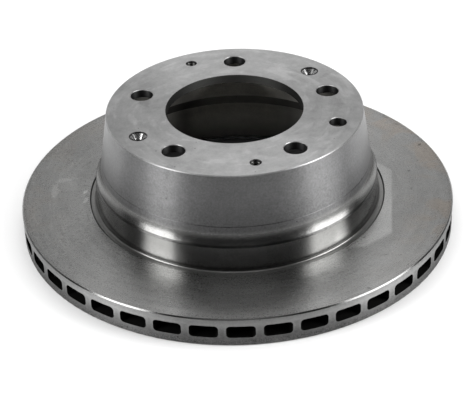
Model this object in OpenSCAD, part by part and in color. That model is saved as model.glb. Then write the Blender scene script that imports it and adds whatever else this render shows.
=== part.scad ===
/* [Friction ring] */
// Outer diameter of the friction ring
disc_d = 290; // [270:1:330]
// Thickness over both friction faces
disc_t = 20; // [19:0.5:30]
// Thickness of the outboard plate, on the side of the hat
outboard_t = 5.3; // [4.5:0.1:7]
// Thickness of the inboard plate
inboard_t = 6.3; // [4.5:0.1:8]
// Chamfer on both edges of the rim
rim_chamfer = 0.8; // [0.3:0.1:1.5]

/* [Air passages] */
// Number of vanes, and of the passages between them
vane_count = 40; // [24:1:48]
// Thickness of a vane
vane_t = 4.8; // [3.5:0.1:7]
// Radius of the fillets along a passage's corners
passage_fillet = 2.4; // [1:0.1:3]
// Width of the air inlet, from the drum's lip to the inboard plate
inlet_w = 7.5; // [5:0.5:12]
// Distance of the vanes' ends behind the inner edge of the inboard plate
vane_setback = 1.5; // [0.5:0.1:5]
// Depth by which the air inlet is cored into both plates
inlet_relief = 0.4; // [0.2:0.1:1]
// Turn of the middle of the first passage from the first wheel hole
passage_turn = 0.75; // [0:0.05:4.5]

/* [Relief at the foot of the hat] */
// Width of the turned ledge round the foot of the hat
ledge_w = 3.2; // [2:0.1:6]
// Depth of the ledge under the outboard friction face
ledge_depth = 0.6; // [0.2:0.1:1.5]
// Width of the run-out groove between ledge and friction face
groove_w = 0.9; // [0.5:0.1:2]
// Depth of the run-out groove under the ledge
groove_depth = 1.1; // [0.5:0.1:2]
// Radius of the fillet at the foot of the hat
foot_fillet = 1.2; // [0.5:0.1:2]

/* [Parking brake drum] */
// Inner diameter of the parking brake drum
drum_d = 180; // [174:1:184]
// Width of the drum's machined track
drum_w = 27.8; // [20:0.1:34]
// Depth of the drum's open lip under the outboard friction face
lip_drop = 12; // [9:0.5:14]
// Wall of the drum at the edge of the flare
drum_wall = 4.3; // [3.5:0.1:8]
// Growth of the drum's wall from that edge to the foot of the hat
foot_growth = 1.2; // [0:0.1:3]
// Chamfer on the drum's lip
lip_chamfer = 1; // [0.4:0.1:1.5]

/* [Hat] */
// Height of the hat's face over the outboard friction face
hat_h = 63; // [60:1:75]
// Angle by which the hat's wall leans from the axis
hat_taper = 9.1; // [4:0.1:12]
// Thickness of the hat's wall
hat_wall = 6.4; // [5:0.1:9]
// Radius of the flare that joins the hat's wall to the drum
flare_r = 15; // [12:0.5:25]
// Width of the flare
flare_w = 3.8; // [2.5:0.1:5]
// Height of the start of the flare over the drum's track
flare_rise = 8.7; // [7:0.1:12]
// Height of the slope inside the hat, from the drum's track to the wall
slope_h = 10.4; // [8:0.1:14]
// Radius of the fillet under the wheel flange
flange_fillet = 2.5; // [1:0.5:3]
// Chamfer on the upper edge of the hat
hat_edge = 0.5; // [0.2:0.1:1]
// Chamfer on the lower edge of the flare
flare_edge = 0.2; // [0.1:0.05:0.4]
// Height of the turned line round the hat's wall over the start of the flare
line_rise = 4.7; // [3:0.1:12]
// Width of the turned line
line_w = 0.4; // [0.2:0.05:0.8]
// Depth of the turned line
line_depth = 0.15; // [0.05:0.05:0.4]

/* [Wheel flange] */
// Thickness of the wheel flange
flange_t = 6; // [5:0.5:9]
// Diameter of the centre bore
bore_d = 90; // [80:0.5:96]
// Diameter of the circle through the wheel holes
wheel_pcd = 130; // [126:1:136]
// Number of wheel holes
wheel_holes = 5; // [4:1:6]
// Diameter of a wheel hole
wheel_hole_d = 15; // [13:0.5:16]
// Chamfer on the bore and on the plain holes
hole_chamfer = 0.35; // [0.2:0.05:0.6]

/* [Small holes of the flange] */
// Distance of the small holes' middles from the inside of the hat's wall
small_inset = 8.8; // [8.5:0.1:10]
// Angle from a wheel hole to the screw hole or jack hole beside it
small_turn = 25.2; // [20:0.2:36]
// Diameter of a fixing screw's clearance hole
screw_d = 5.5; // [5.3:0.1:6.6]
// Diameter of a fixing screw's countersink
sink_d = 11.7; // [10:0.1:13]
// Depth of the countersink's rim under the flange's face
sink_drop = 0.9; // [0.3:0.1:1.2]
// Core diameter of a threaded jack hole
jack_d = 6.8; // [5:0.1:8.5]
// Diameter of a jack hole's chamfer
jack_mouth_d = 7.7; // [7.4:0.1:10]
// Diameter of the adjuster access hole
access_d = 11.4; // [10:0.1:12.4]

/* [Hidden] */
$fn = 180;
over = 1;                 // length by which a cut passes a face
iron = [0.55, 0.55, 0.56];

// Heights over the inboard friction face
ledge_z = disc_t - ledge_depth;
groove_z = ledge_z - groove_depth;
passage_z = inboard_t;
passage_h = disc_t - outboard_t - inboard_t;
inlet_z = passage_z - inlet_relief;
inlet_h = passage_h + 2 * inlet_relief;
lip_z = disc_t - lip_drop;
track_z = lip_z + drum_w;
flare_z = track_z + flare_rise;
slope_z = track_z + slope_h;
line_z = flare_z + line_rise;
face_z = disc_t + hat_h;
seat_z = face_z - flange_t;

// Radii
rim_r = disc_d / 2;
drum_r = drum_d / 2;
edge_r = drum_r + drum_wall;
wall_r = edge_r - flare_w;
foot_r = edge_r + foot_growth;
groove_r = foot_r + ledge_w;
face_r = groove_r + groove_w;
inlet_r = foot_r + inlet_w;
vane_r = inlet_r + vane_setback;

// Middle of the flare's arc, which is tangent to the hat's wall
flare_c = [wall_r + flare_r * cos(hat_taper), flare_z + flare_r * sin(hat_taper)];
edge_z = flare_c[1] - sqrt(pow(flare_r, 2) - pow(flare_c[0] - edge_r, 2));

// Radius of the hat's wall at a height, outside and inside
function outside(z) = wall_r - (z - flare_z) * tan(hat_taper);
function inside(z) = outside(z) - hat_wall / cos(hat_taper);

function along(a) = [cos(a), sin(a)];

// Points of the arc of radius r that fills the corner p between the directions a and b,
// in order from the side of b to the side of a
function fillet(p, a, b, r, steps = 8) =
    let (half = (b - a) / 2, c = p + r / sin(half) * along(a + half))
    [for (i = [0 : steps]) c - r * along(b - 90 + (a - b + 180) * i / steps)];

// Half section of the casting, with the space between the plates still full
module section() {
    neck_a = atan2(edge_z - ledge_z, edge_r - foot_r);
    difference() {
        polygon(concat(
            // wheel flange and outside of the hat
            [[bore_d / 2, seat_z + hole_chamfer],
             [bore_d / 2, face_z - hole_chamfer],
             [bore_d / 2 + hole_chamfer, face_z],
             [outside(face_z) - hat_edge, face_z],
             [outside(face_z - hat_edge), face_z - hat_edge],
             [outside(line_z + line_w / 2), line_z + line_w / 2],
             [outside(line_z) - line_depth, line_z],
             [outside(line_z - line_w / 2), line_z - line_w / 2],
             [wall_r, flare_z],
             [edge_r - flare_edge, flare_z],
             [edge_r - flare_edge, edge_z + flare_edge],
             [edge_r, edge_z - flare_edge]],
            // foot of the hat, ledge and run-out groove
            fillet([foot_r, ledge_z], 0, neck_a, foot_fillet),
            [[groove_r, ledge_z],
             [groove_r, groove_z],
             [face_r, groove_z],
             [face_r, disc_t]],
            // rim and inboard friction face
            [[rim_r - rim_chamfer, disc_t],
             [rim_r, disc_t - rim_chamfer],
             [rim_r, rim_chamfer],
             [rim_r - rim_chamfer, 0],
             [inlet_r + rim_chamfer, 0],
             [inlet_r, rim_chamfer],
             [inlet_r, inlet_z]],
            // ends of the vanes, behind the air inlet
            [[vane_r, inlet_z],
             [vane_r, inlet_z + inlet_h]],
            // outside of the drum's lip
            fillet([foot_r, inlet_z + inlet_h], 270, 360, foot_fillet),
            [[foot_r, lip_z + lip_chamfer / 2],
             [foot_r - lip_chamfer / 2, lip_z],
             [drum_r + lip_chamfer, lip_z],
             [drum_r, lip_z + lip_chamfer],
            // drum, slope and inside of the hat
             [drum_r, track_z],
             [inside(slope_z), slope_z]],
            fillet([inside(seat_z), seat_z], 180, 270 + hat_taper, flange_fillet),
            [[bore_d / 2 + hole_chamfer, seat_z]]
        ));
        translate(flare_c) circle(flare_r);
    }
}

// One side of a passage: all that lies to the left of a vane's wall, with filleted corners.
// The vane runs along +X, and x is how far out the passage goes.
module passage_side(x) {
    rotate([90, 0, 90]) linear_extrude(height = x) {
        translate([vane_t / 2 + passage_fillet, 0]) square([rim_r, passage_h]);
        translate([vane_t / 2, passage_fillet]) square([rim_r, passage_h - 2 * passage_fillet]);
        for (z = [passage_fillet, passage_h - passage_fillet])
            translate([vane_t / 2 + passage_fillet, z]) circle(passage_fillet);
    }
}

// The space between two neighbouring vanes, its middle along +X
module passage() {
    pitch = 360 / vane_count;
    translate([0, 0, passage_z]) difference() {
        intersection() {
            rotate([0, 0, -pitch / 2]) passage_side(rim_r + over);
            rotate([0, 0, pitch / 2]) mirror([0, 1, 0]) passage_side(rim_r + over);
        }
        translate([0, 0, -over]) cylinder(h = passage_h + 2 * over, r = vane_r - over);
    }
}

// A plain hole through the wheel flange, with both edges chamfered
module flange_hole(d, mouth_d) {
    c = (mouth_d - d) / 2;
    translate([0, 0, seat_z - over]) cylinder(h = flange_t + 2 * over, d = d);
    translate([0, 0, face_z - c]) cylinder(h = c + over, d1 = d, d2 = mouth_d + 2 * over);
    translate([0, 0, seat_z - over]) cylinder(h = c + over, d1 = mouth_d + 2 * over, d2 = d);
}

// A fixing screw's hole, with its countersink set under the face
module screw_hole() {
    sink_h = (sink_d - screw_d) / 2;
    translate([0, 0, seat_z - over]) cylinder(h = flange_t + 2 * over, d = screw_d);
    translate([0, 0, face_z - sink_drop]) cylinder(h = sink_drop + over, d = sink_d);
    translate([0, 0, face_z - sink_drop - sink_h]) cylinder(h = sink_h, d1 = screw_d, d2 = sink_d);
}

// Places a child on the flange: r from the axis, turned by a
module at(r, a) {
    rotate([0, 0, a]) translate([r, 0, 0]) children();
}

// The first wheel hole is on +Y, and the small holes lie in mirrored pairs
module brake_disc() {
    first = 90;
    pitch = 360 / wheel_holes;
    small_r = inside(seat_z) - small_inset;
    color(iron) difference() {
        rotate_extrude() section();
        for (i = [0 : vane_count - 1])
            rotate([0, 0, first + passage_turn + i * 360 / vane_count]) passage();
        for (i = [0 : wheel_holes - 1])
            at(wheel_pcd / 2, first + i * pitch) flange_hole(wheel_hole_d, wheel_hole_d + 2 * hole_chamfer);
        for (a = [first + small_turn, first + 3 * pitch - small_turn])
            at(small_r, a) flange_hole(jack_d, jack_mouth_d);
        for (a = [first - pitch + small_turn, first + 2 * pitch - small_turn])
            at(small_r, a) screw_hole();
        at(small_r, first - 1.5 * pitch) flange_hole(access_d, access_d + 2 * hole_chamfer);
    }
}

brake_disc();
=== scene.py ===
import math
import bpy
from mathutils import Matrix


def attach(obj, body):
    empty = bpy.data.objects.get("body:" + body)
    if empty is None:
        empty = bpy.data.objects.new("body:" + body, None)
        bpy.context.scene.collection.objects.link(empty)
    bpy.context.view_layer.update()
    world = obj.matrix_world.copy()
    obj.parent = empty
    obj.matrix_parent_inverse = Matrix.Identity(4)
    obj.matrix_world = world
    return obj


bl_info = {
    "name": "Ventilated brake disc",
    "version": (1, 0, 0),
    "blender": (4, 5, 0),
    "location": "3D View > Sidebar > Brake disc",
    "description": "Gives the cast brake disc its turned, ground and cast finishes and sets up its studio",
    "category": "Object",
}

from types import SimpleNamespace

import bmesh
import bpy
from bpy.props import FloatProperty, FloatVectorProperty, PointerProperty
from mathutils import Matrix, Vector

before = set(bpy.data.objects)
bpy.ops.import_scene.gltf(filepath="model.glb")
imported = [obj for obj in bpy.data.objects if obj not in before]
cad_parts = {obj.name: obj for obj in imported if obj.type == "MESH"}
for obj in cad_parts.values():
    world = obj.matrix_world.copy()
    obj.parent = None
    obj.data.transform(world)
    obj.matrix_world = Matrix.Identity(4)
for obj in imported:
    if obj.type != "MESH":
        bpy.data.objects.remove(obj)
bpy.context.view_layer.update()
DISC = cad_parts["brake_disc"]

# Millimetres in a metre, the unit of the scene
MM = 1000.0

# Heights of the casting in millimetres over the inboard friction face
CAST_Z = (5.8, 15.2)
DISC_T = 20.0
DRUM_Z = 35.8
FLARE_EDGE_Z = 36.7
FLARE_Z = 44.5
SLOPE_Z = 46.2
LINE_Z = 49.2
SEAT_Z = 77.0
HAT_Z = 83.0

# Radii of the casting in millimetres, its rim's chamfer and the slope of its hat's wall
RIM_R = 145.0
RIM_CHAMFER = 0.8
FACE_R = 99.55
GROOVE_R = 98.75
FOOT_R = 95.5
WALL_R = 90.5
WALL_SLOPE = math.tan(math.radians(9.1))
HOLES_R = 82.0
BORE_R = 45.0

# Small holes of the wheel flange: their circle, angles, countersink's rim and thread's core
SMALL_R = 70.013
JACK_ANGLES = (115.2, 280.8)
SCREW_ANGLES = (43.2, 208.8)
SINK_R = 5.85
JACK_R = 3.4

# The thread of a jack hole: its pitch, and the height of its first crest over the hub seat
THREAD_PITCH = 1.25
THREAD_START = 1.2

# The ridge of a thread: turns, steps in a turn, depth of its foot in the wall, half width in pitches
THREAD_TURNS = 3
THREAD_STEPS = 40
THREAD_FOOT = 0.03
THREAD_HALF = 0.42

# Stains and rubs on the outboard side: middle, half length, half width, turn and shade
MARKS = (
    (-103.5, 8.5, 3.5, 1.0, 5, -0.30), (-103.0, 0.5, 2.6, 1.4, 70, 0.55),
    (-101.9, -10.0, 4.5, 1.5, 80, 0.55), (-117.0, -20.0, 2.6, 0.7, 8, -0.30),
    (-104.0, 37.5, 4.5, 0.9, 55, -0.26), (-124.0, 3.0, 10.0, 3.0, 90, 0.36),
    (-119.0, 16.0, 8.0, 3.0, 15, 0.34), (128.8, 52.0, 1.8, 1.2, 40, -0.50),
    (117.8, 17.7, 1.2, 1.0, 0, -0.42), (81.8, -61.6, 1.3, 0.9, 0, -0.45),
    (93.6, -81.3, 3.0, 0.8, 8, -0.28), (40.0, -106.0, 10.0, 2.2, 12, -0.14),
    (54.0, -100.0, 6.0, 2.5, 30, -0.16), (-60.0, 12.0, 4.5, 11.0, 10, -0.16),
    (-66.0, -12.0, 3.0, 9.0, 20, 0.16), (66.0, 0.0, 6.0, 12.0, -15, -0.12),
    (40.0, -58.0, 8.0, 4.0, 25, 0.14), (-8.0, -66.0, 12.0, 3.5, 0, 0.12),
    (62.0, 42.0, 7.0, 2.0, 50, -0.14), (-30.0, 60.0, 9.0, 3.0, 25, -0.12),
    (-124.0, -6.0, 30.0, 72.0, 8, 0.24), (115.0, 81.5, 2.6, 0.9, -30, -0.32),
    (125.4, 30.9, 1.3, 0.9, 40, -0.32), (117.4, -4.8, 1.3, 0.9, 70, -0.34),
    (80.2, -116.4, 1.4, 0.9, 0, -0.45), (-115.0, 8.0, 8.0, 7.0, 0, 0.10),
    (120.5, 66.0, 4.0, 0.8, -50, -0.16), (108.0, 92.0, 3.0, 1.0, -40, -0.18),
    (-40.0, -72.0, 5.0, 3.0, 40, -0.12), (73.0, -30.0, 2.5, 8.0, 20, -0.12),
)

# Sides of a painted reflection, a lighter patch beside the hat on the outboard face: a point, the direction
# out and the softness
PAINTED_REFLECTION_SIDES = (
    (103.3, -20.0, -5, 1.2),
    (104.2, 22.0, 40, 2.0),
    (88.5, -67.1, -50, 2.5),
    (82.0, -73.0, -88, 3.0),
    (99.0, 30.0, 60, 2.0),
    (70.0, 0.0, 180, 2.0),
)

# Panels round the disc that only reflections see, in metres: near edge, far edge and height
FLAG_IN = 0.20
FLAG_OUT = 0.42
FLAG_LOW = 0.003

# Panels round the studio that only reflections see, in metres: distance and height
FLAG_WALL = 1.6
FLAG_TOP = 1.7

# A dark grey disc on the floor under the casting, a painted shadow that shows through its holes, in metres:
# radius and height
SHADOW_DISC_R = 0.10
SHADOW_DISC_LOW = 0.0003

# Soft boxes at the sides, in metres: how far out, how high up, how tall, and the width that sets the power
SIDE_AWAY = 0.80
SIDE_UP = 0.51
SIDE_TALL = 0.82
SIDE_WIDE = 0.36


class Value:
    """A number that varies over the surface. Each Python operator adds its Math node."""

    def __init__(self, finish, socket):
        self.finish, self.socket = finish, socket

    def __add__(self, other):
        return self.finish.math("ADD", self, other)

    def __sub__(self, other):
        return self.finish.math("SUBTRACT", self, other)

    def __rsub__(self, other):
        return self.finish.math("SUBTRACT", other, self)

    def __mul__(self, other):
        return self.finish.math("MULTIPLY", self, other)

    def __truediv__(self, other):
        return self.finish.math("DIVIDE", self, other)

    def __pow__(self, other):
        return self.finish.math("POWER", self, other)

    def __abs__(self):
        return self.finish.math("ABSOLUTE", self)

    __radd__ = __add__
    __rmul__ = __mul__


class Finish:
    """One material and the nodes that make it."""

    def __init__(self, name):
        self.material = bpy.data.materials.new(name)
        self.material.use_nodes = True
        self.tree = self.material.node_tree
        self.tree.nodes.clear()

    def node(self, kind, settings=None, sockets=None, out=0):
        """Adds a node: its settings first, then the values or links of its sockets."""
        made = self.tree.nodes.new(kind)
        for key, value in (settings or {}).items():
            setattr(made, key, value)
        for key, value in (sockets or {}).items():
            if isinstance(value, Value):
                self.tree.links.new(value.socket, made.inputs[key])
            else:
                made.inputs[key].default_value = value
        return Value(self, made.outputs[out]) if made.outputs else None

    def math(self, operation, *terms):
        return self.node("ShaderNodeMath", {"operation": operation}, dict(enumerate(terms)))

    def vector(self, operation, *terms, out=0, scale=None):
        sockets = dict(enumerate(terms))
        if scale is not None:
            sockets["Scale"] = scale
        return self.node("ShaderNodeVectorMath", {"operation": operation}, sockets, out)

    def point(self, x, y, z):
        return self.node("ShaderNodeCombineXYZ", None, {0: x, 1: y, 2: z})

    def parts(self, vector):
        """The three components of a vector."""
        split = self.tree.nodes.new("ShaderNodeSeparateXYZ")
        self.tree.links.new(vector.socket, split.inputs[0])
        return [Value(self, socket) for socket in split.outputs]

    def place(self):
        """The point on the part, in millimetres."""
        return self.vector("SCALE", self.node("ShaderNodeTexCoord", out=3), scale=MM)

    def rise(self, value, low, high, bottom=0.0, top=1.0):
        """A smooth step from bottom to top while value goes from low to high."""
        return self.node(
            "ShaderNodeMapRange",
            {"interpolation_type": "SMOOTHSTEP"},
            {"Value": value, "From Min": low, "From Max": high, "To Min": bottom, "To Max": top},
        )

    def fall(self, value, low, high, top=1.0):
        """A smooth step from top to 0 while value goes from low to high."""
        return self.rise(value, low, high, top, 0.0)

    def band(self, value, low, high, soft=0.1):
        """1 while value lies between low and high."""
        return self.rise(value, low - soft, low + soft) * self.fall(value, high - soft, high + soft)

    def most(self, *values):
        """The greatest of some values."""
        most = values[0]
        for value in values[1:]:
            most = self.math("MAXIMUM", most, value)
        return most

    def noise(self, vector, scale, detail, rough, warp=0.0):
        return self.node(
            "ShaderNodeTexNoise",
            None,
            {"Vector": vector, "Scale": scale, "Detail": detail, "Roughness": rough, "Distortion": warp},
        )

    def sway(self, *settings):
        """Noise that goes to either side of 0."""
        return self.noise(*settings) - 0.5

    def dots(self, vector, scale, size, share):
        """Small round spots, one in a share of the cells of a Voronoi pattern."""
        cells = self.tree.nodes.new("ShaderNodeTexVoronoi")
        cells.inputs["Scale"].default_value = scale
        self.tree.links.new(vector.socket, cells.inputs["Vector"])
        chance = self.parts(Value(self, cells.outputs["Color"]))[0]
        near = self.fall(Value(self, cells.outputs["Distance"]), size * 0.4, size)
        return near * self.math("LESS_THAN", chance, share)

    def mix(self, factor, first, second):
        """A mix of two colours."""
        return self.node("ShaderNodeMix", {"data_type": "RGBA"}, {0: factor, 6: first, 7: second}, 2)

    def pick(self, factor, first, second):
        """A mix of two numbers."""
        return self.node("ShaderNodeMix", {"data_type": "FLOAT"}, {0: factor, 2: first, 3: second})

    def done(self, **sockets):
        """Adds the shader with its sockets, and gives the material."""
        named = {key.replace("_", " "): value for key, value in sockets.items()}
        shader = self.node("ShaderNodeBsdfPrincipled", None, named)
        self.node("ShaderNodeOutputMaterial", None, {"Surface": shader})
        return self.material


def colour(prop):
    return (*prop, 1.0)


def colour_setting(name, description, *default):
    """A colour that the panel shows."""
    return FloatVectorProperty(
        name=name, description=description, subtype="COLOR", size=3, min=0, max=1, default=default
    )


def number_setting(name, description, kind, default, low=None):
    """A number that the panel shows, with a lowest value where it has one."""
    limits = {} if low is None else {"min": low}
    return FloatProperty(name=name, description=description, subtype=kind, default=default, **limits)


class DiscFinish(bpy.types.PropertyGroup):
    ground: colour_setting("Ground face", "Colour of the friction faces", 0.333, 0.333, 0.329)
    tint: colour_setting("Oil tint", "Colour of the dried oil on the friction faces", 0.354, 0.324, 0.294)
    hat: colour_setting("Hat face", "Colour of the turned face of the hat", 0.40, 0.40, 0.40)
    wall: colour_setting("Hat wall", "Colour of the wall of the hat", 0.268, 0.268, 0.270)
    turned: colour_setting("Turned foot", "Colour of the flare and the drum's outside", 0.356, 0.355, 0.348)
    rim: colour_setting("Rim", "Colour of the rim between the friction faces", 0.375, 0.375, 0.372)
    # The cast skin of the air passages, darkened to near black as painted shade
    cast: colour_setting("Cast skin", "Colour of the cast air passages", 0.012, 0.012, 0.0115)
    # Lighter than the iron: the burnish of the chamfers, and in part a painted highlight along the edges
    # and in the countersinks
    edge: colour_setting("Edges", "Colour of the hat's chamfers and the countersinks", 0.62, 0.62, 0.62)
    # Painted shade: the walls of the drilled and jack holes, the groove and the countersinks' rims are much
    # darker than the iron
    recess: colour_setting("Recesses", "Colour of the drilled holes and the groove", 0.07, 0.07, 0.07)
    inside: colour_setting("Inside", "Colour of the inside of the hat", 0.46, 0.45, 0.42)
    # Painted shade: the centre bore's wall and the jack threads are much darker than the iron
    bore: colour_setting("Bore", "Colour of the centre bore's wall and the threads", 0.12, 0.12, 0.115)
    thread_height: number_setting(
        "Thread height", "Height of the jack holes' threads over the wall", "DISTANCE", 0.0003, 0
    )
    groove_depth: number_setting(
        "Tool marks", "Depth of the marks that the tools left", "DISTANCE", 0.000012, 0
    )


class DiscStage(bpy.types.PropertyGroup):
    floor_size: number_setting("Floor", "Side of the floor", "DISTANCE", 9.0)
    floor_colour: colour_setting("Floor colour", "Colour of the floor", 0.88, 0.88, 0.88)
    # The colour of the painted shadow: the dark disc on the floor under the casting
    shadow_disc_colour: colour_setting("Mat colour", "Colour of the mat under the disc", 0.15, 0.15, 0.15)
    room: number_setting("Room", "Level of the light that comes from all sides", "NONE", 0.8, 0)
    side_power: number_setting("Side lights", "Power of a side light 0.36 m wide", "POWER", 5.3, 0)
    top_power: number_setting("Top light", "Power of the soft box over the disc", "POWER", 3.2, 0)
    back_power: number_setting("Back light", "Power of the soft box at the back", "POWER", 1.6, 0)
    camera_distance: number_setting(
        "Camera distance", "From the middle of the outboard friction face's plane", "DISTANCE", 1.01913
    )
    camera_height: number_setting(
        "Camera elevation", "Angle over the plane of the friction face", "ANGLE", math.radians(32.621)
    )
    camera_turn: number_setting(
        "Camera turn", "Turn about the axis of the disc", "ANGLE", math.radians(0.96)
    )
    camera_roll: number_setting("Camera roll", "Roll of the camera", "ANGLE", math.radians(1.9053))
    camera_nod: number_setting(
        "Camera nod", "Angle by which the camera looks past the middle", "ANGLE", 0.0075
    )
    lens: FloatProperty(
        name="Lens", description="Focal length for a 36 mm sensor", unit="CAMERA", default=113.96
    )


def round_the_axis(degrees, distance, height):
    a = math.radians(degrees)
    return (distance * math.cos(a), distance * math.sin(a), height)


def surface(iron):
    """Where a point of the casting lies, and which way the surface faces there."""
    place = iron.place()
    x, y, z = iron.parts(place)
    facing = abs(iron.parts(iron.node("ShaderNodeTexCoord", out=1))[2])
    return SimpleNamespace(
        place=place,
        flat=iron.point(x, y, 0.0),
        x=x,
        y=y,
        z=z,
        radius=(x * x + y * y) ** 0.5,
        level=iron.rise(facing, 0.86, 0.96),
        conical=iron.band(facing, 0.5, 0.85, 0.05),
        upright=iron.fall(facing, 0.2, 0.4),
    )


def patterns(iron, here):
    """The marks of the tools round the axis, the grain of the iron, and its stains and specks."""
    round_x, round_y = here.x / here.radius, here.y / here.radius
    lathe = iron.point(round_x * 9.0, round_y * 9.0, here.radius + here.z * 0.8)
    cloudy = iron.point(round_x * 1.6, round_y * 1.6, here.radius * 0.06)
    smeary = iron.point(round_x * 2.6, round_y * 2.6, here.radius * 0.11)
    return SimpleNamespace(
        fine=iron.sway(iron.vector("MULTIPLY", lathe, (1.0, 1.0, 1.6)), 1.0, 3.0, 0.65),
        wide=iron.sway(iron.vector("MULTIPLY", lathe, (0.35, 0.35, 0.22)), 1.0, 2.0, 0.55),
        clouds=iron.sway(cloudy, 1.0, 3.0, 0.55, 0.6),
        smears=iron.noise(smeary, 1.0, 3.0, 0.6, 1.2),
        grain=iron.sway(here.place, 0.75, 4.0, 0.7),
        sand=iron.sway(here.place, 1.4, 3.0, 0.6),
        patches=iron.sway(here.place, 0.16, 4.0, 0.65),
        wander=iron.sway(here.place, 0.35, 3.0, 0.6),
        blotches=iron.noise(here.place, 0.045, 3.0, 0.55, 0.8),
        specks=iron.dots(here.place, 0.16, 0.10, 0.16),
        fine_specks=iron.dots(here.place, 0.33, 0.16, 0.10),
        scratches=iron.dots(lathe, 0.5, 0.13, 0.05),
    )


def round_holes(iron, here, angles, zone):
    """A zone that depends on the distance from the middles of the small holes at these angles."""
    total = 0.0
    for angle in angles:
        x, y, _ = round_the_axis(angle, SMALL_R, 0.0)
        total = zone(((here.x - x) ** 2 + (here.y - y) ** 2) ** 0.5) + total
    return total


def zones(iron, here):
    """Where each finish lies: 1 on its faces and 0 elsewhere."""
    z, radius = here.z, here.radius
    steep = 1.0 - here.level
    flange = iron.rise(z, SEAT_Z - 0.2, SEAT_Z)
    holes = iron.band(radius, BORE_R + 2.0, HOLES_R, 0.5)
    wall_line = radius + WALL_SLOPE * iron.math("MAXIMUM", z - FLARE_Z, 0.0)
    outside = iron.rise(wall_line, WALL_R - 0.4, WALL_R - 0.2)

    # The friction faces, the rim and the air passages
    outboard = iron.rise(z, DISC_T - 0.3, DISC_T - 0.1) * iron.fall(z, DISC_T + 0.5, DISC_T + 1.0)
    ground = here.level * iron.rise(radius, FACE_R, FACE_R + 0.2) * (outboard + iron.fall(z, 0.1, 0.3))
    corner = iron.rise(radius, RIM_R - RIM_CHAMFER + 0.02, RIM_R - RIM_CHAMFER + 0.1) * (1.0 - ground)
    rim = corner * iron.band(z, RIM_CHAMFER, DISC_T - RIM_CHAMFER, 0.04)
    cast = iron.band(z, *CAST_Z, 0.05) * iron.band(radius, FOOT_R + 0.1, RIM_R - 0.05, 0.05)
    groove = iron.band(radius, GROOVE_R, FACE_R, 0.12) * iron.band(z, DISC_T - 3.0, DISC_T - 0.1, 0.05)

    # The outside of the hat
    hat_face = here.level * iron.rise(z, HAT_Z - 0.2, HAT_Z - 0.05)
    edge = steep * iron.rise(z, HAT_Z - 0.6, HAT_Z - 0.45)
    wall_z = iron.rise(z, FLARE_Z - 1.3, FLARE_Z + 1.7) * iron.fall(z, HAT_Z - 0.6, HAT_Z - 0.5)
    wall = outside * wall_z * (1.0 - hat_face)
    line = wall * iron.band(z, LINE_Z - 0.35, LINE_Z + 0.35, 0.15)
    foot = outside * iron.band(z, DISC_T - 3.0, FLARE_Z - 0.5, 1.5) * (1.0 - ground)

    # The inside of the hat, with its drum and the slope over the drum
    bore = steep * iron.fall(radius, BORE_R + 0.5, BORE_R + 0.7) * flange
    within = (1.0 - outside) * iron.fall(z, SEAT_Z - 0.1, SEAT_Z)
    within = within * iron.rise(radius, BORE_R + 1.0, BORE_R + 2.0)
    drum = within * iron.fall(z, DRUM_Z, DRUM_Z + 0.5)
    slope = within * iron.band(z, DRUM_Z + 0.5, SLOPE_Z - 1.0, 0.4)

    # The holes of the wheel flange
    jack = round_holes(iron, here, JACK_ANGLES, lambda away: iron.fall(away, JACK_R + 2.0, JACK_R + 2.2))
    jack = jack * steep * flange
    sink = here.conical * iron.band(radius, BORE_R + 6.0, HOLES_R, 0.5)
    sink = sink * iron.band(z, SEAT_Z + 1.0, HAT_Z - 0.8, 0.1) * (1.0 - jack)
    lips = round_holes(
        iron, here, SCREW_ANGLES, lambda away: iron.band(away, SINK_R - 0.3, SINK_R + 0.15, 0.1)
    )
    lips = lips * iron.rise(z, HAT_Z - 1.2, HAT_Z - 1.0)
    drilled = here.upright * holes * iron.band(z, SEAT_Z - 0.2, HAT_Z - 0.5, 0.15)
    return SimpleNamespace(
        ground=ground,
        corner=corner,
        rim=rim,
        cast=cast,
        hat_face=hat_face,
        edge=edge,
        wall=wall,
        line=line,
        foot=foot,
        bore=bore,
        within=within,
        drum=drum,
        slope=slope,
        jack=jack,
        sink=sink,
        lips=lips,
        recess=iron.most(drilled, groove),
        calm=iron.most(foot * 0.9, edge, bore, sink),
    )


def stains(iron, here, wander):
    """The shade of all stains and rubs, with wandering outlines."""
    total = 0.0
    for x, y, long, wide, turn, shade in MARKS:
        away = iron.node(
            "ShaderNodeMapping",
            {"vector_type": "TEXTURE"},
            {
                "Vector": here.flat,
                "Location": (x, y, 0.0),
                "Rotation": (0.0, 0.0, math.radians(turn)),
                "Scale": (long, wide, 1.0),
            },
        )
        reach = iron.vector("LENGTH", away, out=1) + wander * 1.6
        total = iron.fall(reach, 0.5, 1.1, shade) + total
    return total


def painted_reflection_patch(iron, here, wander):
    """1 between all the sides of the painted reflection beside the hat."""
    painted_reflection = 1.0
    for x, y, turn, soft in PAINTED_REFLECTION_SIDES:
        out_x, out_y, _ = round_the_axis(turn, 1.0, 0.0)
        side = here.x * out_x + here.y * out_y + wander * soft
        limit = x * out_x + y * out_y
        painted_reflection = iron.fall(side, limit - soft, limit + soft * 0.5) * painted_reflection
    return painted_reflection


def iron_colour(iron, here, on, pattern, look):
    """The colour of the casting before its shade, with dried oil on the friction faces, painted shade in
    its holes, bore, groove and air passages, and lighter edges that are in part a painted highlight.
    """
    oil = iron.rise(pattern.blotches, 0.40, 0.62) * iron.rise(here.radius, 108.0, 138.0)
    oil = oil * iron.rise(here.x, -60.0, 120.0, 0.3, 1.0) * iron.rise(here.y, -95.0, -20.0, 0.1, 1.0)
    base = iron.mix(on.ground, colour(look.turned), iron.mix(oil, colour(look.ground), colour(look.tint)))
    for zone, tint in (
        (on.hat_face, look.hat),
        (on.wall, look.wall),
        (on.within, look.inside),
        (on.corner, look.rim),
        (on.cast, look.cast),
        (on.edge, look.edge),
        (on.recess, look.recess),
        (on.bore, look.bore),
        (on.sink, look.edge),
        (on.jack, look.recess),
        (on.lips, look.recess),
    ):
        base = iron.mix(zone, base, colour(tint))
    return base


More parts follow.
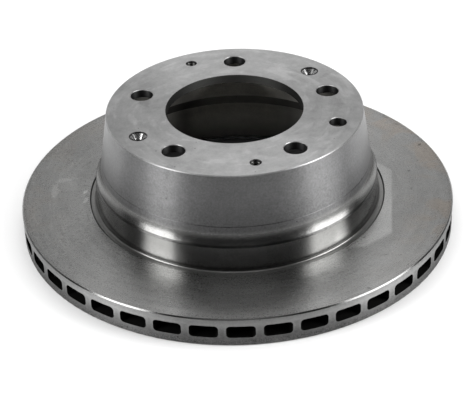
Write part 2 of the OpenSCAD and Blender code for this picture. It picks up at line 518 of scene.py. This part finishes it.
def iron_shade(iron, here, on, pattern, specks):
    """The factor that darkens or lightens the casting's colour."""
    x, y, z = here.x, here.y, here.z
    outboard = iron.rise(z, DISC_T - 1.0, DISC_T - 0.5)
    scratches = pattern.scratches * (on.ground + on.hat_face)
    # A painted reflection: a lighter patch on the outboard face beside the hat
    painted_reflection = painted_reflection_patch(iron, here, pattern.wander) * outboard * on.ground

    # Painted shade on the foot of the hat: darker at the ledge, up the drum's outside and from the flare's
    # edge on
    over_face = iron.rise(z, DISC_T - 0.2, DISC_T + 0.6)
    upwards = iron.rise(z, DISC_T + 5.0, DISC_T + 14.0, 0.0, 0.14)
    foot = (
        iron.fall(z, DISC_T + 0.2, DISC_T + 4.5, 0.45) * over_face
        + (1.0 - over_face) * 0.16
        + iron.band(z, DISC_T + 6.0, DRUM_Z + 0.1, 0.3) * upwards
        + iron.rise(z, FLARE_EDGE_Z - 0.4, FLARE_EDGE_Z + 0.1, 0.0, 0.36)
        + iron.band(z, FLARE_EDGE_Z - 0.8, FLARE_EDGE_Z + 1.0, 0.2) * 0.40
    )

    # Grain, marks and stains in the finishes, the painted reflection beside the hat, the friction face
    # darker near the rim, and painted shade on the rim's chamfers, on the rim towards the inboard face and
    # on the hat's wall towards its foot
    shade = (
        1.0
        + pattern.grain * (0.34 + on.wall * 0.60 + on.ground * 0.14 + on.rim * 0.2 + on.foot * 0.1)
        + pattern.fine * (0.14 + on.ground * 0.10)
        + pattern.wide * (0.16 + on.ground * 0.10)
        + (pattern.clouds + pattern.patches) * (on.hat_face * 0.30)
        + pattern.clouds * 0.20
        + pattern.patches * 0.24
        + pattern.sand * iron.rise(z, 3.5, 5.0, 1.2, 0.3) * on.rim
        + iron.rise(pattern.smears, 0.50, 0.72) * (on.hat_face * 0.22 + on.ground * 0.06)
        + stains(iron, here, pattern.wander) * outboard * (1.0 - on.calm)
        + painted_reflection * iron.rise(y, -30.0, 20.0, 0.52, 0.32)
        - specks * 0.5
        - scratches * 0.22
        - on.line * 0.14
        - foot * on.foot
        - iron.rise(here.radius, RIM_R - 4.0, RIM_R - 1.5, 0.0, 0.08) * on.ground
        # Painted shade: the rim's chamfers, the rim towards the inboard face and the hat's wall towards its
        # foot
        - (on.corner - on.rim) * 0.2
        - iron.fall(z, 2.0, DISC_T - 2.0, 0.64) * on.rim
        - iron.fall(z, DRUM_Z + 0.2, HAT_Z - 5.0, 0.32) * on.wall
    )

    # Painted light and shade inside the hat: the drum lighter towards its top and the wall over the slope
    # lighter in the middle, while the drum, the slope and the bore's wall go darker to both sides
    sides = iron.rise(abs(x), 18.0, 38.0)
    drum_light_and_shade = on.drum * iron.rise(z, 6.0, 32.0, -0.35, 0.85)
    drum_side_shade = on.drum * (iron.rise(x, 22.0, 40.0, 0.0, 0.65) + iron.fall(x, -40.0, -28.0, 0.45))
    inside = 1.0 + drum_light_and_shade + (on.within - on.drum - on.slope) * (1.0 - sides)
    return shade * inside * (1.0 - drum_side_shade - iron.most(on.slope * 0.75, on.bore * 0.5) * sides)


def iron_roughness(iron, here, on, pattern, specks):
    """The roughness of each finish, uneven where the surface isn't calm."""
    rough = iron.rise(here.z, FLARE_EDGE_Z - 0.7, FLARE_EDGE_Z + 0.3, 0.19, 0.26)
    rough = rough + iron.fall(here.z, DISC_T - 0.4, DISC_T + 0.6, 0.16)
    for zone, roughness in (
        (on.ground, 0.28),
        (on.hat_face, 0.33),
        (on.wall, 0.37),
        (on.within, 0.75),
        (on.corner, 0.22),
        (on.rim, 0.56),
        (on.cast, 0.9),
        (on.edge, iron.rise(here.radius, HOLES_R, HOLES_R + 1.0, 0.50, 0.40)),
        (on.recess, 0.6),
        (on.bore, 0.85),
        (on.sink, 0.22),
    ):
        rough = iron.pick(zone, rough, roughness)
    return rough + (pattern.grain * 0.12 + pattern.fine * 0.10 + specks * 0.2) * (1.0 - on.calm)


def turned_iron(look):
    """The finish of the whole casting: ground faces, turned hat and foot, machined drum, cast passages."""
    iron = Finish("turned_iron")
    here = surface(iron)
    on = zones(iron, here)
    pattern = patterns(iron, here)
    specks = (pattern.specks + pattern.fine_specks * on.ground * 0.7) * (1.0 - on.cast)
    base = iron_colour(iron, here, on, pattern, look)
    shade = iron_shade(iron, here, on, pattern, specks)

    # Relief of the tools' marks and of the sand that the iron was cast in
    relief = (
        pattern.fine * (1.0 - on.cast) * (1.0 - on.calm)
        + pattern.grain * (0.2 + on.wall * 3.6 + on.hat_face * 0.5) * (1.0 - on.calm)
        + pattern.sand * (on.cast * 10.0 + on.rim * 2.0)
    )
    bump = iron.node(
        "ShaderNodeBump", None, {"Strength": 1.0, "Distance": look.groove_depth, "Height": relief}
    )
    return iron.done(
        Base_Color=iron.vector("SCALE", base, scale=shade),
        Metallic=1.0,
        Roughness=iron_roughness(iron, here, on, pattern, specks),
        Normal=bump,
        Anisotropic=0.75,
        Anisotropic_Rotation=0.25,
    )


def thread_iron(look):
    """The cut thread of the jack holes."""
    iron = Finish("cut_thread")
    shade = 1.0 + iron.sway(iron.place(), 1.2, 3.0, 0.6) * 0.6
    # The thread takes the bore's colour, dark as painted shade
    return iron.done(
        Base_Color=iron.vector("SCALE", tuple(look.bore), scale=shade), Metallic=1.0, Roughness=0.35
    )


def matt(name, tint):
    """A plain matt finish for the stage."""
    return Finish(name).done(Base_Color=colour(tint), Roughness=0.9, Specular_IOR_Level=0.0)


def thread_mesh(name, angle, height):
    """The ridge of one thread, which winds up the hole and fades out at both ends."""
    x, y, _ = round_the_axis(angle, SMALL_R, 0.0)
    made = bmesh.new()
    rings = []
    for step in range(THREAD_STEPS * THREAD_TURNS + 1):
        turn = step / THREAD_STEPS
        crest = height * min(1.0, turn * 4, (THREAD_TURNS - turn) * 4)
        z = SEAT_Z + THREAD_START + THREAD_PITCH * turn
        ring = []
        for inward, up in ((-THREAD_FOOT, -THREAD_HALF), (crest, 0.0), (-THREAD_FOOT, THREAD_HALF)):
            out_x, out_y, _ = round_the_axis(360 * turn, JACK_R - inward, 0.0)
            corner = (x + out_x, y + out_y, z + up * THREAD_PITCH)
            ring.append(made.verts.new([c / MM for c in corner]))
        rings.append(ring)
    for one, two in zip(rings, rings[1:]):
        for j in range(3):
            made.faces.new((one[j], one[(j + 1) % 3], two[(j + 1) % 3], two[j]))
    made.faces.new(rings[0][::-1])
    made.faces.new(rings[-1])
    bmesh.ops.recalc_face_normals(made, faces=made.faces)
    mesh = bpy.data.meshes.new(name)
    made.to_mesh(mesh)
    made.free()
    return mesh


def lying(turn, near, far, height):
    """The corners of a flat panel round the axis, each a turn, a distance and a height."""
    return ((0, near, height), (turn, near, height), (turn, far, height), (0, far, height))


def standing(turn, away, low, high):
    """The corners of an upright panel round the axis, each a turn, a distance and a height."""
    return ((0, away, low), (turn, away, low), (turn, away, high), (0, away, high))


def fan(angles, corners):
    """The same corners from each of some angles on."""
    return [round_the_axis(angle + turn, away, up) for angle in angles for turn, away, up in corners]


def panel(name, corners, material):
    """A piece of the stage, from its corners in fours."""
    mesh = bpy.data.meshes.new(name)
    mesh.from_pydata(corners, [], [tuple(range(i, i + 4)) for i in range(0, len(corners), 4)])
    mesh.materials.append(material)
    made = bpy.data.objects.new(name, mesh)
    bpy.context.scene.collection.objects.link(made)
    return made


def flags():
    """The panels that only reflections see: name, corners and tone of each."""
    roof = [(-1.7, -1.3, FLAG_TOP), (1.7, -1.3, FLAG_TOP), (1.7, 1.2, FLAG_TOP), (-1.7, 1.2, FLAG_TOP)]
    far = lying(10, FLAG_OUT, FLAG_WALL, 0.004) + standing(10, FLAG_WALL, 0.0, FLAG_TOP)
    return (
        ("near_flag", fan((236,), lying(68, FLAG_IN, FLAG_OUT, FLAG_LOW)), 0.50),
        ("beside_flag", fan((176, 196, 216, 304, 324, 344), lying(20, FLAG_IN, FLAG_OUT, FLAG_LOW)), 0.60),
        ("back_flag", fan((35, 48, 61, 101, 114, 127), standing(13, FLAG_WALL, 0.12, 1.6)), 0.25),
        ("side_flag", fan((145, 155, 165, 375, 385), standing(10, FLAG_WALL, 0.0, FLAG_TOP)), 0.30),
        ("far_flag", fan(range(175, 375, 10), far) + roof, 0.03),
    )


def soft_box(name, place, target, size, power):
    """A rectangular soft box that faces target."""
    light = bpy.data.lights.new(name, "AREA")
    light.shape = "RECTANGLE"
    light.size, light.size_y = size
    light.energy = power
    made = bpy.data.objects.new(name, light)
    made.location = place
    made.rotation_euler = (Vector(target) - Vector(place)).to_track_quat("-Z", "Y").to_euler()
    bpy.context.scene.collection.objects.link(made)


def room(level):
    """The even light that comes from all sides."""
    world = bpy.data.worlds.new("studio")
    world.use_nodes = True
    background = world.node_tree.nodes["Background"]
    background.inputs["Color"].default_value = (1, 1, 1, 1)
    background.inputs["Strength"].default_value = level
    return world


def camera(stage):
    """The camera, at the photograph's viewing angle."""
    lens = bpy.data.cameras.new("camera")
    lens.lens, lens.sensor_width = stage.lens, 36.0
    lens.clip_start, lens.clip_end = 0.01, 20.0
    made = bpy.data.objects.new("camera", lens)
    turn = Matrix.Rotation(stage.camera_turn, 4, "Z")
    aim = turn @ Matrix.Rotation(math.pi / 2 - stage.camera_height, 4, "X")
    nod = Matrix.Rotation(-stage.camera_nod, 4, "X")
    roll = Matrix.Rotation(-stage.camera_roll, 4, "Z")
    place = Vector((0, 0, DISC_T / MM)) + aim @ Vector((0, 0, stage.camera_distance))
    made.matrix_world = Matrix.Translation(place) @ aim @ nod @ roll
    bpy.context.scene.collection.objects.link(made)
    return made


class BRAKEDISC_OT_iron(bpy.types.Operator):
    """Gives the casting its finishes"""

    bl_idname = "brakedisc.iron"
    bl_label = "Finish the casting"

    def execute(self, context):
        DISC.data.materials.clear()
        DISC.data.materials.append(turned_iron(context.scene.disc_finish))
        return {"FINISHED"}


class BRAKEDISC_OT_threads(bpy.types.Operator):
    """Cuts the threads of the jack holes"""

    bl_idname = "brakedisc.threads"
    bl_label = "Cut the jack threads"

    def execute(self, context):
        look = context.scene.disc_finish
        iron = thread_iron(look)
        for number, angle in enumerate(JACK_ANGLES, 1):
            name = f"jack_thread_{number}"
            mesh = thread_mesh(name, angle, look.thread_height * MM)
            mesh.materials.append(iron)
            thread = bpy.data.objects.new(name, mesh)
            context.scene.collection.objects.link(thread)
            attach(thread, "root")
        return {"FINISHED"}


class BRAKEDISC_OT_stage(bpy.types.Operator):
    """Makes the floor, the lights and the camera"""

    bl_idname = "brakedisc.stage"
    bl_label = "Set up the studio"

    def execute(self, context):
        stage, scene = context.scene.disc_stage, context.scene
        half = stage.floor_size / 2
        floor = [(-half, -half, 0), (half, -half, 0), (half, half, 0), (-half, half, 0)]
        panel("floor", floor, matt("floor", stage.floor_colour))
        # A dark disc on the floor under the casting: a painted shadow
        slice_of_shadow_disc = ((0, 0.0, SHADOW_DISC_LOW), (0, SHADOW_DISC_R, SHADOW_DISC_LOW), (6, SHADOW_DISC_R, SHADOW_DISC_LOW), (12, SHADOW_DISC_R, SHADOW_DISC_LOW))
        panel("painted_shadow_disc", fan(range(0, 360, 12), slice_of_shadow_disc), matt("mat", stage.shadow_disc_colour))
        for name, corners, tone in flags():
            flag = panel(name, corners, matt(name, (tone, tone, tone)))
            flag.visible_camera = flag.visible_diffuse = flag.visible_shadow = False

        for name, side, width in (("left_light", 209.5, 0.34), ("right_light", 342, 0.45)):
            place = round_the_axis(side, SIDE_AWAY, SIDE_UP)
            power = stage.side_power * width / SIDE_WIDE
            soft_box(name, place, (0, 0, SIDE_UP), (width, SIDE_TALL), power)
        soft_box("top_light", (0, 0.25, 1.65), (0, 0.25, 0), (0.7, 1.0), stage.top_power)
        soft_box("back_light", (0, 0.85, 1.15), (0, 0, 0.06), (1.0, 0.5), stage.back_power)
        scene.world = room(stage.room)

        scene.camera = camera(stage)
        scene.view_settings.view_transform = "Standard"
        return {"FINISHED"}


class BRAKEDISC_PT_panel(bpy.types.Panel):
    """Lists the settings and the steps that finish the disc"""

    bl_label = "Brake disc"
    bl_idname = "BRAKEDISC_PT_panel"
    bl_space_type = "VIEW_3D"
    bl_region_type = "UI"
    bl_category = "Brake disc"

    def draw(self, context):
        for group in (context.scene.disc_finish, context.scene.disc_stage):
            for name in group.__annotations__:
                self.layout.prop(group, name)
        for step in STEPS:
            self.layout.operator(step.bl_idname)


STEPS = (BRAKEDISC_OT_iron, BRAKEDISC_OT_threads, BRAKEDISC_OT_stage)
CLASSES = (DiscFinish, DiscStage, *STEPS, BRAKEDISC_PT_panel)


def register():
    for cls in CLASSES:
        bpy.utils.register_class(cls)
    bpy.types.Scene.disc_finish = PointerProperty(type=DiscFinish)
    bpy.types.Scene.disc_stage = PointerProperty(type=DiscStage)


def unregister():
    del bpy.types.Scene.disc_stage, bpy.types.Scene.disc_finish
    for cls in reversed(CLASSES):
        bpy.utils.unregister_class(cls)


def main():
    register()
    bpy.ops.brakedisc.iron()
    bpy.ops.brakedisc.threads()
    bpy.ops.brakedisc.stage()


if __name__ == "__main__":
    main()
